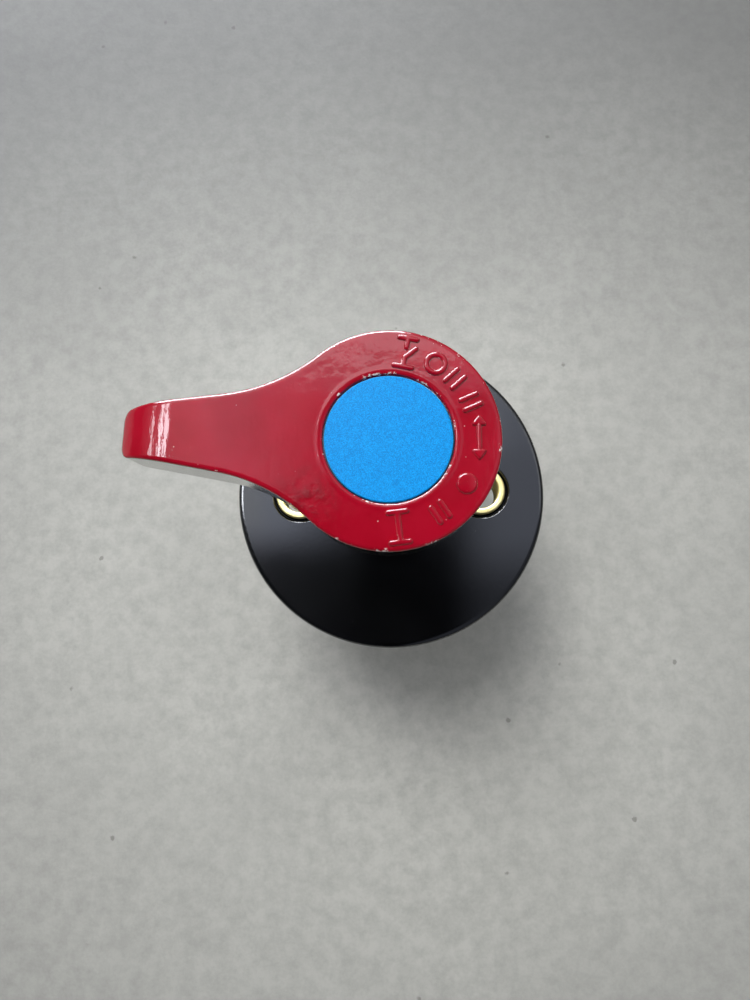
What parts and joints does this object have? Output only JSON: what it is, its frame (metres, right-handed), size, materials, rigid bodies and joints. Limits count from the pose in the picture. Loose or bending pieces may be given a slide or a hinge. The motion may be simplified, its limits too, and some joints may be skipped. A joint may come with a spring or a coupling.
{
  "type": "battery master switch",
  "caption": "Panel battery master switch: a turning lever drives a cam that presses a copper bridge onto two terminal studs.",
  "frame": {"origin": "centre of the flange's front face, on the shaft axis, midway between the two panel bolts", "axes": "+Z along the shaft towards the lever; +X through the two panel bolts; the lever's arm points to -X when off"},
  "size_m": [0.0825, 0.072, 0.1245],
  "materials": {
    "housing_moulding": "black phenolic, satin gloss",
    "brass_parts": "turned brass, lightly tarnished",
    "red_paint": "thick glossy red paint on a die casting",
    "blue_disc": "blue satin paint with fine metallic grain",
    "steel_parts": "zinc plated steel",
    "spring_steel": "bright spring wire",
    "copper_parts": "bare copper",
    "silver_tips": "silver contact alloy",
    "seal_rubber": "black nitrile",
    "cam_resin": "brown glass-filled resin"
  },
  "bodies": {
    "base": {"housing": "housing_moulding", "mounting_bushes": "brass_parts", "shaft_bush": "brass_parts", "shaft_seal": "seal_rubber", "thrust_washer": "brass_parts", "rear_cover": "housing_moulding", "cover_gasket": "seal_rubber", "cover_screws": "steel_parts", "terminal_studs": "brass_parts", "stud_seals": "seal_rubber", "fixed_contact_tips": "silver_tips", "stud_washers": "steel_parts", "stud_spring_washers": "steel_parts", "stud_nuts": "brass_parts", "return_spring": "spring_steel"},
    "lever": {"lever": "red_paint", "badge_disc": "blue_disc", "lever_screw": "steel_parts", "lever_screw_washer": "steel_parts", "shaft": "steel_parts", "cam_rotor": "cam_resin", "rotor_pin": "steel_parts"},
    "carriage": {"contact_carriage": "cam_resin", "contact_bridge": "copper_parts", "moving_contact_tips": "silver_tips", "contact_spring": "spring_steel", "retaining_washer": "steel_parts", "retaining_clip": "spring_steel"}
  },
  "joints": [
    {"name": "lever_turn", "type": "hinge", "parent": "base", "child": "lever", "pos_m": [0, 0, 0], "axis": [0, 0, 1], "range_deg": [-90, 0]},
    {"name": "contact_travel", "type": "slide", "parent": "base", "child": "carriage", "axis": [0, 0, 1], "range_m": [-0.004, 0], "deforming": ["return_spring"]}
  ],
  "couplings": [
    {"joint": "contact_travel", "follows": "lever_turn", "m_per_rad": 0.002546}
  ]
}
